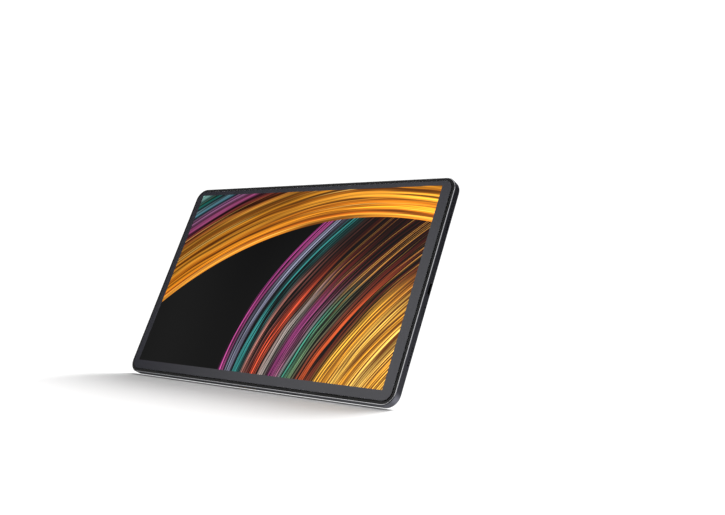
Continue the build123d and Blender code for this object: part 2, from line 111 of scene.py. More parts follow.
def soft_box(centre, inner, outer, power):
    """Glow round a direction: full inside cos(inner), none outside cos(outer), times power."""
    dot = room_nodes.new("ShaderNodeVectorMath")
    dot.operation = "DOT_PRODUCT"
    dot.inputs[1].default_value = Vector(centre).normalized()
    room_links.new(direction, dot.inputs[0])
    ramp = room_nodes.new("ShaderNodeMapRange")
    ramp.interpolation_type = "SMOOTHSTEP"
    ramp.inputs["From Min"].default_value = np.cos(np.radians(outer))
    ramp.inputs["From Max"].default_value = np.cos(np.radians(inner))
    ramp.inputs["To Max"].default_value = power
    room_links.new(dot.outputs["Value"], ramp.inputs["Value"])
    return ramp.outputs["Result"]


def room_sum(*levels):
    """Adds light levels together."""
    total = levels[0]
    for level in levels[1:]:
        adder = room_nodes.new("ShaderNodeMath")
        room_links.new(total, adder.inputs[0])
        room_links.new(level, adder.inputs[1])
        total = adder.outputs[0]
    return total


ambient = soft_box((-0.6, -0.4, 0.7), 30, 150, 0.08)
front_box = soft_box((-0.50, -0.85, 0.16), 5, 24, 1.25)
corner_box = soft_box((0.72, -0.62, 0.30), 14, 32, 0.62)
under_box = soft_box((-0.62, -0.40, -0.70), 12, 36, 0.3)
back_box = soft_box((0.51, 0.83, -0.21), 4, 28, 1.35)
top_box = soft_box((-0.30, 0.10, 0.95), 12, 46, 0.7)
rear_floor = soft_box((0.0, 0.75, -0.66), 10, 50, 0.6)
reflected = room_sum(ambient, front_box, corner_box, under_box, back_box, top_box, rear_floor)

sky = soft_box((0.08, 0.30, 0.95), 5, 62, 1.5)
wall_light = 0.34
backdrop = 1.12
shade = room_nodes.new("ShaderNodeMath")
shade.inputs[1].default_value = wall_light
room_links.new(sky, shade.inputs[0])
path = room_nodes.new("ShaderNodeLightPath")
seen = room_nodes.new("ShaderNodeMix")
seen.inputs["B"].default_value = backdrop
room_links.new(shade.outputs[0], seen.inputs["A"])
room_links.new(path.outputs["Is Camera Ray"], seen.inputs["Factor"])
clear_or_glossy = room_nodes.new("ShaderNodeMath")
clear_or_glossy.operation = "MAXIMUM"
room_links.new(path.outputs["Is Glossy Ray"], clear_or_glossy.inputs[0])
room_links.new(path.outputs["Is Transmission Ray"], clear_or_glossy.inputs[1])
mirrored = room_nodes.new("ShaderNodeMix")
room_links.new(clear_or_glossy.outputs[0], mirrored.inputs["Factor"])
room_links.new(seen.outputs["Result"], mirrored.inputs["A"])
room_links.new(reflected, mirrored.inputs["B"])
room_links.new(mirrored.outputs["Result"], room_nodes["Background"].inputs["Strength"])
room_nodes["Background"].inputs["Color"].default_value = (1, 1, 1, 1)

overhead = bpy.data.lights.new("overhead", "AREA")
overhead.shape = "DISK"
overhead.size = 0.5
overhead.energy = 15.0
overhead_lamp = bpy.data.objects.new("overhead", overhead)
overhead_lamp.location = (0.22, 0.30, 1.25)
overhead_lamp.rotation_euler = (body_middle - overhead_lamp.location).to_track_quat("-Z", "Y").to_euler()
overhead_lamp.visible_glossy = False
bpy.context.scene.collection.objects.link(overhead_lamp)

# The camera stands to the right of the screen and looks along the tablet, a little above the bench.
lens = bpy.data.cameras.new("main_camera")
lens.lens = 45.95
lens.sensor_width = 36.0
lens.clip_start = 0.01
look = Vector((-0.62298, 0.70345, 0.34213)).normalized()
rightward = look.cross(Vector((-0.01144, -0.44552, 0.89520))).normalized()
upward = rightward.cross(look)
camera = bpy.data.objects.new("main_camera", lens)
turned = Matrix((rightward, upward, -look)).transposed().to_4x4()
camera.matrix_world = Matrix.Translation((0.46736, -0.45306, -0.11720)) @ turned
bpy.context.scene.collection.objects.link(camera)
bpy.context.scene.camera = camera
bpy.context.scene.view_settings.view_transform = "Standard"

# Surface grain: every finish on the tablet uses this one effect with its own values. It is a fine
# grain for moulded, blasted or rolled skins, over slow cloudy patches where hands have polished it.
grain_group = bpy.data.node_groups.new("surface_grain", "ShaderNodeTree")
for label, start in (("Grain Scale", 4000.0), ("Cloud Scale", 30.0), ("Stretch", 1.0)):
    scale = grain_group.interface.new_socket(label, in_out="INPUT", socket_type="NodeSocketFloat")
    scale.default_value = start
for label in ("Grain", "Cloud"):
    grain_group.interface.new_socket(label, in_out="OUTPUT", socket_type="NodeSocketFloat")
gn, gl = grain_group.nodes, grain_group.links
grain_in, grain_out = gn.new("NodeGroupInput"), gn.new("NodeGroupOutput")
grain_coord = gn.new("ShaderNodeTexCoord")
stretch = gn.new("ShaderNodeCombineXYZ")
stretch.inputs["Y"].default_value = 1.0
stretch.inputs["Z"].default_value = 1.0
gl.new(grain_in.outputs["Stretch"], stretch.inputs["X"])
stretched = gn.new("ShaderNodeVectorMath")
stretched.operation = "MULTIPLY"
gl.new(grain_coord.outputs["Object"], stretched.inputs[0])
gl.new(stretch.outputs["Vector"], stretched.inputs[1])
for socket, result, detail in (("Grain Scale", "Grain", 2.0), ("Cloud Scale", "Cloud", 4.0)):
    noise = gn.new("ShaderNodeTexNoise")
    noise.inputs["Detail"].default_value = detail
    gl.new(stretched.outputs["Vector"], noise.inputs["Vector"])
    gl.new(grain_in.outputs[socket], noise.inputs["Scale"])
    gl.new(noise.outputs["Fac"], grain_out.inputs[result])


class Finish:
    """One procedural material: a Principled shader with the surface grain wired to its sockets."""

    def __init__(self, name, metallic=0.0, grain=4000.0, cloud=30.0, stretch=1.0):
        self.material = bpy.data.materials.new(name)
        self.material.use_nodes = True
        self.nodes = self.material.node_tree.nodes
        self.links = self.material.node_tree.links
        self.shader = self.nodes["Principled BSDF"]
        self.shader.inputs["Metallic"].default_value = metallic
        self.group = self.nodes.new("ShaderNodeGroup")
        self.group.node_tree = grain_group
        self.group.inputs["Grain Scale"].default_value = grain
        self.group.inputs["Cloud Scale"].default_value = cloud
        self.group.inputs["Stretch"].default_value = stretch

    def math(self, operation, *values):
        """A Math node; each value is a number or another node's output."""
        node = self.nodes.new("ShaderNodeMath")
        node.operation = operation
        for slot, value in zip(node.inputs, values):
            if isinstance(value, (int, float)):
                slot.default_value = value
            else:
                self.links.new(value, slot)
        return node.outputs[0]

    def ramp(self, value, low, high, to_low=0.0, to_high=1.0):
        """Smooth step of a value from low..high to to_low..to_high."""
        node = self.nodes.new("ShaderNodeMapRange")
        node.interpolation_type = "SMOOTHSTEP"
        self.links.new(value, node.inputs["Value"])
        ends = {"From Min": low, "From Max": high, "To Min": to_low, "To Max": to_high}
        for label, number in ends.items():
            node.inputs[label].default_value = number
        return node.outputs["Result"]

    def mix(self, factor, first, second):
        """Mixes two colours by a factor; a colour is a triple or another node's output."""
        node = self.nodes.new("ShaderNodeMix")
        node.data_type = "RGBA"
        self.links.new(factor, node.inputs["Factor"])
        for label, colour in (("A", first), ("B", second)):
            if isinstance(colour, tuple):
                node.inputs[label].default_value = (*colour, 1)
            else:
                self.links.new(colour, node.inputs[label])
        return node.outputs["Result"]

    def position(self, offset=(0, 0, 0)):
        """Object coordinates measured from a point, as separate X, Y and Z."""
        coord = self.nodes.new("ShaderNodeTexCoord").outputs["Object"]
        shift = self.nodes.new("ShaderNodeMapping")
        shift.inputs["Location"].default_value = [-value for value in offset]
        split = self.nodes.new("ShaderNodeSeparateXYZ")
        self.links.new(coord, shift.inputs["Vector"])
        self.links.new(shift.outputs["Vector"], split.inputs["Vector"])
        return split.outputs["X"], split.outputs["Y"], split.outputs["Z"]

    def skin(self, first, second, rough, rough_spread=0.1, bump=0.05, depth=0.02 * MM):
        """Colour and roughness from the clouds, and a bump from the grain."""
        cloud = self.ramp(self.group.outputs["Cloud"], 0.3, 0.7)
        self.colour(self.mix(cloud, first, second))
        self.roughness(self.ramp(self.group.outputs["Cloud"], 0.3, 0.7, rough, rough + rough_spread))
        self.bump(self.group.outputs["Grain"], bump, depth)
        return self

    def colour(self, output):
        self.links.new(output, self.shader.inputs["Base Color"])

    def roughness(self, output):
        self.links.new(output, self.shader.inputs["Roughness"])

    def bump(self, height, strength, distance):
        node = self.nodes.new("ShaderNodeBump")
        node.inputs["Strength"].default_value = strength
        node.inputs["Distance"].default_value = distance
        self.links.new(height, node.inputs["Height"])
        self.links.new(node.outputs["Normal"], self.shader.inputs["Normal"])


def paint(finish, *names):
    """Gives a finish to CAD nodes."""
    for name in names:
        piece = bpy.data.objects[name]
        piece.data.materials.clear()
        piece.data.materials.append(finish.material)


# Rear housing: one piece of aluminium, milled from a plate, blasted and anodised slate grey. The
# chamfer round its front is cut with a diamond after anodising, which leaves it bright.
rim_front = housing_low.y
chamfer_width = 0.20 * MM
anodised = Finish("anodised_slate", metallic=1.0, grain=5200.0, cloud=14.0)
_, depth_y, _ = anodised.position()
cut_bright = anodised.ramp(depth_y, rim_front + chamfer_width, rim_front + chamfer_width - 0.03 * MM)
clouds = anodised.ramp(anodised.group.outputs["Cloud"], 0.35, 0.65)
slate = anodised.mix(clouds, (0.150, 0.152, 0.182), (0.164, 0.166, 0.196))
sparkle = anodised.ramp(anodised.group.outputs["Grain"], 0.55, 0.8)
slate = anodised.mix(sparkle, slate, (0.235, 0.238, 0.27))
anodised.colour(anodised.mix(cut_bright, slate, (0.80, 0.80, 0.82)))
blasted_rough = anodised.ramp(anodised.group.outputs["Grain"], 0.2, 0.8, 0.34, 0.46)
cut_smooth = anodised.math("SUBTRACT", 1.0, anodised.math("MULTIPLY", cut_bright, 0.55))
anodised.roughness(anodised.math("MULTIPLY", blasted_rough, cut_smooth))
anodised.bump(anodised.group.outputs["Grain"], 0.12, 0.01 * MM)
paint(anodised, "rear_housing")

# Antenna cover: the strip of the back that radio waves pass through, moulded in filled nylon and
# painted a shade darker and more matte than the metal beside it.
matte_strip = Finish("matte_strip", metallic=0.55, grain=4200.0, cloud=12.0)
matte_strip.skin((0.078, 0.074, 0.090), (0.088, 0.083, 0.100), 0.50, 0.06, 0.2, 0.012 * MM)
paint(matte_strip, "antenna_cover")

# Side keys and card tray: milled from the same aluminium and anodised with the housing. The keys
# are held from inside by their brackets, and the tray slides in the card reader.
key_finish = Finish("anodised_keys", metallic=1.0, grain=5200.0, cloud=60.0)
key_finish.skin((0.150, 0.152, 0.182), (0.20, 0.202, 0.235), 0.34, 0.08, 0.10, 0.01 * MM)
paint(key_finish, "power_button", "volume_rocker", "card_tray")

# Mid frame: black glass-filled polycarbonate, moulded, and seated in the housing. Its lip is the
# thin dark line between metal and glass. The other black mouldings are of the same plastic.
lip_plastic = Finish("black_frame", grain=3000.0, cloud=40.0)
lip_plastic.skin((0.006, 0.006, 0.007), (0.010, 0.010, 0.011), 0.38, 0.15, 0.25)
lip_plastic.shader.inputs["Specular IOR Level"].default_value = 0.4
paint(lip_plastic, "mid_frame", "pogo_carrier", "dock_slot_liners", "usb_tongue", "backlight_tray")
speaker_parts = [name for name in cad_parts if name.startswith("speaker_")]
speaker_boxes = [name for name in speaker_parts if name != "speaker_meshes"]
paint(lip_plastic, *speaker_boxes)

# Cover glass: one sheet of hardened glass, 0.75 mm thick, cut with a water jet. Its front edge is
# ground and polished round, and it is bonded into the mid frame.
cover = Finish("cover_glass", grain=900.0, cloud=18.0)
cover_patches = cover.ramp(cover.group.outputs["Cloud"], 0.35, 0.7)
cover.colour(cover.mix(cover_patches, (1.0, 1.0, 1.0), (0.975, 0.98, 0.985)))
cover.shader.inputs["Roughness"].default_value = 0.0
cover.shader.inputs["Transmission Weight"].default_value = 1.0
cover.shader.inputs["IOR"].default_value = 1.5
paint(cover, "cover_glass")

# Bezel print: black ink round the screen, printed on the glass in two passes. It is drawn on the
# front of the glass with a clear coat for the polish, so that the light of the room reaches the ink.
glass_low, glass_high = (Vector(corner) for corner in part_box("cover_glass"))
glass_middle = (glass_low + glass_high) / 2
glass_round = 0.5 * MM
print_corner_r = 6.6 * MM
window_corner_r = 0.3 * MM
print_y = glass_low.y - 0.02 * MM
window_half = Vector((119.8, 0, 73.5)) * MM
window_middle = Vector((-1.2 * MM, 0.0, body_middle.z + 1.6 * MM))


def rounded_outline(middle, half, corner_r, y, steps=13):
    """Rectangle with quarter circles of radius corner_r: corner centre + r * (cos, sin)."""
    angle = np.linspace(0, np.pi / 2, steps)
    points = []
    for turn, (side, level) in enumerate(((1, 1), (-1, 1), (-1, -1), (1, -1))):
        points.append(np.stack([
            middle.x + side * (half.x - corner_r) + corner_r * np.cos(angle + turn * np.pi / 2),
            np.full(steps, y),
            middle.z + level * (half.z - corner_r) + corner_r * np.sin(angle + turn * np.pi / 2),
        ], axis=-1))
    return np.concatenate(points)


print_half = (glass_high - glass_low) / 2 - Vector((glass_round, 0, glass_round))
print_outlines = np.stack([
    rounded_outline(window_middle, window_half, window_corner_r, print_y),
    rounded_outline(glass_middle, print_half, print_corner_r, print_y),
])
bezel_print = surface("bezel_print", print_outlines, wrap_v=True)
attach(bezel_print, "tablet")
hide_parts("bezel_mask")

ink = Finish("bezel_ink", grain=2500.0, cloud=25.0)
ink.skin((0.045, 0.045, 0.058), (0.050, 0.050, 0.064), 0.50, 0.06, 0.02)
ink.shader.inputs["Specular IOR Level"].default_value = 0.0
ink.shader.inputs["Coat Weight"].default_value = 1.0
ink.shader.inputs["Coat Roughness"].default_value = 0.0
bezel_print.data.materials.append(ink.material)
paint(ink, "glass_adhesive")

# Screen picture: the lit face of the panel in the window of the print. It shows strands of coloured
# light: a golden sweep that arches over the top, and a fan that grows from the lower edge.
picture_y = print_y + 0.01 * MM
picture_margin = 0.3 * MM
cols, rows = np.meshgrid(np.linspace(-1, 1, 49), np.linspace(-1, 1, 31))
picture = surface("screen_picture", np.stack([
    window_middle.x + cols * (window_half.x + picture_margin),
    np.full_like(cols, picture_y),
    window_middle.z + rows * (window_half.z + picture_margin),
], axis=-1)[:, ::-1])
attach(picture, "tablet")

strands = Finish("screen_strands", grain=800.0)
sx, _, sz = strands.position(tuple(window_middle))
px = strands.math("MULTIPLY", sx, 1000.0)
py = strands.math("MULTIPLY", sz, 1000.0)


def strand_noise(across, along, fine, slow, low, high, out_low, out_high):
    """Noise that changes quickly across the strands and slowly along them."""
    place = strands.nodes.new("ShaderNodeCombineXYZ")
    strands.links.new(strands.math("MULTIPLY", across, fine), place.inputs["X"])
    strands.links.new(strands.math("MULTIPLY", along, slow), place.inputs["Y"])
    noise = strands.nodes.new("ShaderNodeTexNoise")
    noise.inputs["Scale"].default_value = 1.0
    noise.inputs["Detail"].default_value = 2.0
    strands.links.new(place.outputs["Vector"], noise.inputs["Vector"])
    return strands.ramp(noise.outputs["Fac"], low, high, out_low, out_high)


def strand_colours(value, length, stops):
    """Colour ramp over value, with stops given as a place along length and a colour."""
    node = strands.nodes.new("ShaderNodeValToRGB")
    strands.links.new(strands.math("DIVIDE", value, length), node.inputs["Fac"])
    ramp = node.color_ramp
    for place, colour in stops[1:-1]:
        ramp.elements.new(place / length).color = (*colour, 1)
    ramp.elements[0].color = (*stops[0][1], 1)
    ramp.elements[len(ramp.elements) - 1].color = (*stops[-1][1], 1)
    return node.outputs["Color"]


def lit(colour, light):
    """A colour times a light level; the colour is a triple or another node's output."""
    node = strands.nodes.new("ShaderNodeVectorMath")
    node.operation = "SCALE"
    if isinstance(colour, tuple):
        node.inputs[0].default_value = colour
    else:
        strands.links.new(colour, node.inputs[0])
    strands.links.new(light, node.inputs["Scale"])
    return node.outputs["Vector"]


def together(first, second):
    """Two lights laid over each other: their sum."""
    node = strands.nodes.new("ShaderNodeVectorMath")
    strands.links.new(first, node.inputs[0])
    strands.links.new(second, node.inputs[1])
    return node.outputs["Vector"]


# The sweep: circles about a far point below the screen, counted outwards from its lower edge.
sweep_centre = (70.0, -230.0)
sweep_radius = 280.0
dx = strands.math("SUBTRACT", px, sweep_centre[0])
dy = strands.math("SUBTRACT", py, sweep_centre[1])
reach = strands.math("SQRT", strands.math("ADD", strands.math("MULTIPLY", dx, dx),
                                          strands.math("MULTIPLY", dy, dy)))
sweep = strands.math("SUBTRACT", reach, sweep_radius)
sweep_drift = strand_noise(sweep, px, 0.04, 0.008, 0.25, 0.75, -1.5, 1.5)
drift_place = strands.math("MULTIPLY", strands.ramp(sweep, 0.0, 14.0),
                           strands.ramp(sweep, 45.0, 65.0, 1.0, 0.3))
sweep_lane = strands.math("ADD", sweep, strands.math("MULTIPLY", sweep_drift, drift_place))
sweep_glow = strand_colours(sweep_lane, 80.0, [
    (0, (0.85, 0.27, 0.015)), (2, (0.98, 0.45, 0.05)), (4.5, (0.60, 0.12, 0.004)),
    (8, (0.98, 0.36, 0.02)), (13, (0.50, 0.14, 0.006)), (18, (0.92, 0.40, 0.035)),
    (23, (0.32, 0.09, 0.004)), (27, (0.66, 0.27, 0.02)), (32, (0.20, 0.055, 0.004)),
    (36, (0.52, 0.22, 0.025)), (41, (0.30, 0.05, 0.02)), (45, (0.10, 0.02, 0.03)),
    (49, (0.36, 0.07, 0.20)), (52, (0.05, 0.015, 0.03)), (55, (0.44, 0.16, 0.36)),
    (58, (0.03, 0.02, 0.05)), (61, (0.10, 0.28, 0.36)), (64, (0.30, 0.56, 0.64)),
    (66, (0.02, 0.05, 0.06)), (69, (0.03, 0.30, 0.24)), (72, (0.02, 0.06, 0.06)),
    (76, (0.25, 0.50, 0.45)), (80, (0.10, 0.30, 0.28)),
])
sweep_strand = strand_noise(sweep_lane, px, 0.42, 0.007, 0.36, 0.62, 0.12, 1.45)
sweep_fine = strand_noise(sweep, px, 1.5, 0.012, 0.32, 0.68, 0.45, 1.25)
right_glow = strands.ramp(px, -30.0, 110.0, 0.75, 1.55)
sweep_light = strands.math("MULTIPLY", strands.math("MULTIPLY", sweep_strand, sweep_fine), right_glow)
sweep_thread = strand_noise(sweep, px, 0.75, 0.005, 0.60, 0.70, 0.0, 0.55)
warm_part = strands.ramp(sweep, 38.0, 54.0, 1.0, 0.12)
sweep_thread = strands.math("MULTIPLY", strands.math("MULTIPLY", sweep_thread, warm_part), right_glow)
gold_thread = (1.0, 0.62, 0.16)
dim_ember = (0.090, 0.020, 0.001)
sweep_image = together(lit(sweep_glow, sweep_light), lit(gold_thread, sweep_thread))
sweep_ember = strands.ramp(sweep, 5.0, 46.0, 1.0, 0.0)
sweep_image = together(sweep_image, lit(dim_ember, sweep_ember))

# The fan: strands that leave the lower edge upright, spread as they rise, and bend to the right.
fan_start = -30.0
fan_bend = 0.0038
fan_spread = 0.0040
rise = strands.math("ADD", py, window_half.z / MM)
bend = strands.math("MULTIPLY", strands.math("MULTIPLY", rise, rise), fan_bend)
fan = strands.math("DIVIDE", strands.math("SUBTRACT", strands.math("SUBTRACT", px, fan_start), bend),
                   strands.math("ADD", strands.math("MULTIPLY", rise, fan_spread), 1.0))
fan_drift = strand_noise(fan, rise, 0.05, 0.011, 0.25, 0.75, -1.6, 1.6)
fan_lane = strands.math("ADD", fan, strands.math("MULTIPLY", fan_drift, strands.ramp(fan, 8.0, 30.0)))
fan_glow = strand_colours(fan_lane, 150.0, [
    (0, (0.45, 0.05, 0.30)), (3, (0.70, 0.10, 0.40)), (6, (0.03, 0.01, 0.03)),
    (9, (0.34, 0.36, 0.50)), (13, (0.03, 0.02, 0.04)), (17, (0.04, 0.34, 0.32)),
    (22, (0.02, 0.08, 0.08)), (26, (0.55, 0.18, 0.14)), (31, (0.05, 0.01, 0.01)),
    (35, (0.85, 0.10, 0.04)), (39, (0.10, 0.02, 0.01)), (43, (0.60, 0.50, 0.46)),
    (47, (0.03, 0.02, 0.02)), (52, (0.40, 0.05, 0.24)), (58, (0.36, 0.12, 0.22)),
    (63, (0.04, 0.26, 0.18)), (69, (0.16, 0.32, 0.16)), (75, (0.08, 0.03, 0.02)),
    (81, (0.62, 0.09, 0.02)), (88, (0.10, 0.02, 0.01)), (94, (0.90, 0.48, 0.05)),
    (101, (0.75, 0.32, 0.02)), (108, (1.00, 0.66, 0.12)), (117, (0.85, 0.36, 0.02)),
    (126, (1.00, 0.70, 0.16)), (138, (0.90, 0.42, 0.04)), (150, (0.95, 0.55, 0.08)),
])
fan_strand = strand_noise(fan_lane, rise, 0.75, 0.008, 0.41, 0.62, 0.0, 1.6)
fan_fine = strand_noise(fan, rise, 1.9, 0.012, 0.34, 0.66, 0.25, 1.4)
fan_fade = strands.math("MAXIMUM", strands.ramp(rise, 30.0, 108.0, 1.0, 0.10),
                        strands.ramp(fan, 14.0, 28.0, 0.85, 0.0))
fan_light = strands.math("MULTIPLY", strands.math("MULTIPLY", fan_strand, fan_fine), fan_fade)
fan_thread = strand_noise(fan_lane, rise, 0.9, 0.005, 0.58, 0.68, 0.0, 1.0)
thread_place = strands.math("MULTIPLY", strands.ramp(rise, 40.0, 90.0), strands.ramp(fan, 30.0, 55.0))
fan_thread = strands.math("MULTIPLY", fan_thread, thread_place)
high_red = strands.math("MULTIPLY", strands.ramp(rise, 45.0, 95.0), strands.ramp(fan, 24.0, 42.0))
deep_red, old_gold, ember = (0.30, 0.030, 0.016), (0.70, 0.32, 0.06), (0.150, 0.042, 0.003)
fan_glow = strands.mix(high_red, fan_glow, deep_red)
fan_image = together(lit(fan_glow, fan_light), lit(old_gold, fan_thread))
fan_ember = strands.math("MULTIPLY", strands.ramp(fan, 86.0, 102.0),
                         strands.ramp(rise, 50.0, 100.0, 1.0, 0.0))
fan_image = together(fan_image, lit(ember, fan_ember))
fan_edge = strands.ramp(fan, -0.5, 0.5)

haze = strands.mix(strands.ramp(px, -110.0, -20.0), (0.009, 0.009, 0.009), (0.0006, 0.0006, 0.0007))
under_sweep = strands.mix(fan_edge, haze, fan_image)
image = strands.mix(strands.ramp(sweep, -0.4, 0.4), under_sweep, sweep_image)
strands.links.new(image, strands.shader.inputs["Emission Color"])
strands.shader.inputs["Emission Strength"].default_value = 1.0
strands.shader.inputs["Base Color"].default_value = (0.0, 0.0, 0.0, 1)
strands.shader.inputs["IOR"].default_value = 1.0
strands.shader.inputs["Coat Weight"].default_value = 0.25
strands.shader.inputs["Coat Roughness"].default_value = 0.0
strands.roughness(strands.ramp(strands.group.outputs["Cloud"], 0.3, 0.7, 0.5, 0.6))
picture.data.materials.append(strands.material)

# Layers behind the glass, from front to back: bond, panel, films and light guide. They are sealed
# in, and only seen when the tablet is taken apart.
clear = Finish("clear_layers", grain=600.0, cloud=20.0)
clear.skin((0.80, 0.82, 0.82), (0.86, 0.88, 0.88), 0.10, 0.1, 0.02)
paint(clear, "optical_films", "light_guide")
panel_dark = Finish("panel_glass", grain=900.0, cloud=30.0)
panel_dark.skin((0.004, 0.004, 0.005), (0.008, 0.008, 0.010), 0.08, 0.05, 0.01)
paint(panel_dark, "display_panel", "optical_adhesive")

# Bare metal inside: the stamped chassis plate, key brackets and card reader, and the eject gear,
# stamped or turned. Shield cans are tinned steel, screws are black zinc and magnets are nickel.
sheet_steel = Finish("sheet_steel", metallic=1.0, grain=900.0, cloud=40.0, stretch=0.05)
sheet_steel.skin((0.42, 0.42, 0.43), (0.52, 0.52, 0.53), 0.28, 0.12, 0.08)
paint(sheet_steel, "chassis_plate", "key_brackets", "lever_pin", "eject_rod", "eject_lever", "card_reader")
tinned = Finish("tinned_steel", metallic=1.0, grain=1500.0, cloud=80.0)
tinned.skin((0.60, 0.60, 0.62), (0.70, 0.70, 0.71), 0.22, 0.12, 0.06)
paint(tinned, "shield_cans", "side_key_switches", "usb_shell", "microphones")
black_screws = Finish("black_screws", metallic=1.0, grain=2500.0, cloud=200.0)
black_screws.skin((0.10, 0.10, 0.11), (0.20, 0.20, 0.21), 0.30, 0.15, 0.08)
paint(black_screws, "chassis_screws", "board_screws")
nickel = Finish("nickel_magnets", metallic=1.0, grain=1200.0, cloud=90.0)
nickel.skin((0.52, 0.50, 0.46), (0.60, 0.58, 0.54), 0.18, 0.1, 0.04)
paint(nickel, "dock_magnets")

# Electronics: boards in dark green solder mask, screwed to bosses inside the back, and flexes in
# amber polyimide film that link them.
boards = Finish("solder_mask", grain=1100.0, cloud=160.0)
boards.skin((0.008, 0.060, 0.030), (0.014, 0.085, 0.045), 0.28, 0.12, 0.15)
paint(boards, "mainboard", "sub_board", "battery_board", "light_sensor", "flash_led")
polyimide = Finish("polyimide_film", grain=1800.0, cloud=120.0)
polyimide.skin((0.36, 0.13, 0.02), (0.46, 0.19, 0.04), 0.30, 0.1, 0.06)
paint(polyimide, "display_flex", "side_key_flex", "board_link_flex", "antenna_flexes", "led_strip")

# Battery cells: laminated pouches of aluminium foil under black film, held by stretch tape. The
# thermal pads share the finish of the tape, and the seals are black silicone.
pouch = Finish("battery_pouch", grain=700.0, cloud=60.0)
pouch.skin((0.020, 0.020, 0.022), (0.034, 0.034, 0.036), 0.34, 0.2, 0.3)
paint(pouch, "battery_cell_left", "battery_cell_right")
tape = Finish("stretch_tape", grain=900.0, cloud=70.0)
tape.skin((0.55, 0.55, 0.52), (0.62, 0.62, 0.60), 0.55, 0.1, 0.2)
paint(tape, "battery_adhesive", "thermal_pads")
silicone = Finish("silicone_seal", grain=1500.0, cloud=120.0)
silicone.skin((0.010, 0.010, 0.010), (0.018, 0.018, 0.018), 0.6, 0.1, 0.2)
paint(silicone, "tray_seal", "usb_gasket")

# Rear camera: a turned aluminium ring with a bright bevel, a flat glass, and below it the stepped
# black barrel with the coated front lens.
ring_low, ring_high = (Vector(corner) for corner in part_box("camera_ring"))
camera_middle = (ring_low + ring_high) / 2
back_y = housing_high.y


def turned_piece(name, centre, axis, radii, heights, steps=96, close_profile=False):
    """Profile (radius, height) turned about an axis through centre: centre + h*axis + r*(cos, sin)."""
    axis = np.array(axis, dtype=float)
    side = np.array((0.0, 0.0, 1.0)) if abs(axis[2]) < 0.5 else np.array((1.0, 0.0, 0.0))
    other = np.cross(axis, side)
    angle = np.linspace(0, 2 * np.pi, steps, endpoint=False)[None, :, None]
    r = np.asarray(radii, dtype=float)[:, None, None]
    h = np.asarray(heights, dtype=float)[:, None, None]
    points = np.asarray(centre, dtype=float) + h * axis + r * (np.cos(angle) * side + np.sin(angle) * other)
    return surface(name, points, wrap_u=close_profile, wrap_v=True,
                   cap_start=not close_profile, cap_end=not close_profile)


def round_over(start, end, count=9):
    """Quarter turn between two profile points, as a cosine and a sine of the same angle."""
    turn = np.linspace(0, np.pi / 2, count)
    r = start[0] + (end[0] - start[0]) * (1 - np.cos(turn))
    h = start[1] + (end[1] - start[1]) * np.sin(turn)
    return np.stack([r, h], axis=1)


ring_outline = np.vstack([
    [(5.0, 0.0), (6.98, 0.0), (6.98, 0.75)],
    round_over((6.98, 0.75), (6.5, 1.23)),
    [(5.45, 1.23), (5.40, 1.22), (5.05, 0.98), (5.0, 0.94), (5.0, 0.45)],
]) * MM
backward = (0, 1, 0)
ring_place = (camera_middle.x, back_y, camera_middle.z)
ring = turned_piece("camera_trim_ring", ring_place, backward, ring_outline[:, 0], ring_outline[:, 1],
                    steps=160, close_profile=True)
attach(ring, "tablet")
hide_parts("camera_ring")

turned_dark = Finish("turned_camera_ring", metallic=1.0, grain=4000.0, cloud=300.0)
rx, _, rz = turned_dark.position(ring_place)
radius = turned_dark.math("SQRT", turned_dark.math(
    "ADD", turned_dark.math("MULTIPLY", rx, rx), turned_dark.math("MULTIPLY", rz, rz)))
bevel = turned_dark.ramp(radius, 5.43 * MM, 5.38 * MM)
turned_dark.colour(turned_dark.mix(bevel, (0.055, 0.055, 0.065), (0.62, 0.62, 0.66)))
turned_dark.roughness(turned_dark.math("SUBTRACT", 0.34, turned_dark.math("MULTIPLY", bevel, 0.2)))
grooves = turned_dark.math("SINE", turned_dark.math("MULTIPLY", radius, 2 * np.pi / (0.08 * MM)))
turned_dark.bump(grooves, 0.15, 0.004 * MM)
ring.data.materials.append(turned_dark.material)

lens_clear = Finish("camera_cover_glass", cloud=200.0)
lens_patches = lens_clear.ramp(lens_clear.group.outputs["Cloud"], 0.35, 0.7)
lens_clear.colour(lens_clear.mix(lens_patches, (1.0, 1.0, 1.0), (0.97, 0.98, 0.99)))
lens_clear.shader.inputs["Roughness"].default_value = 0.0
lens_clear.shader.inputs["Transmission Weight"].default_value = 1.0
lens_clear.shader.inputs["IOR"].default_value = 1.2
paint(lens_clear, "camera_glass")

barrel_steps = np.array([
    (4.90, 0.40), (4.35, 0.40), (4.30, 0.20), (3.60, 0.20), (3.55, 0.00), (2.95, 0.00), (2.90, -0.20),
    (2.45, -0.20), (2.40, -0.40), (2.10, -0.40), (2.10, -0.55), (4.90, -0.55),
]) * MM
barrel = turned_piece("camera_barrel", ring_place, backward, barrel_steps[:, 0], barrel_steps[:, 1],
                      steps=96, close_profile=True)
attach(barrel, "tablet")
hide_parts("lens_barrel")
barrel_black = Finish("camera_barrel_black", grain=5000.0, cloud=300.0)
barrel_black.skin((0.008, 0.008, 0.010), (0.016, 0.016, 0.020), 0.25, 0.15, 0.1)
barrel.data.materials.append(barrel_black.material)

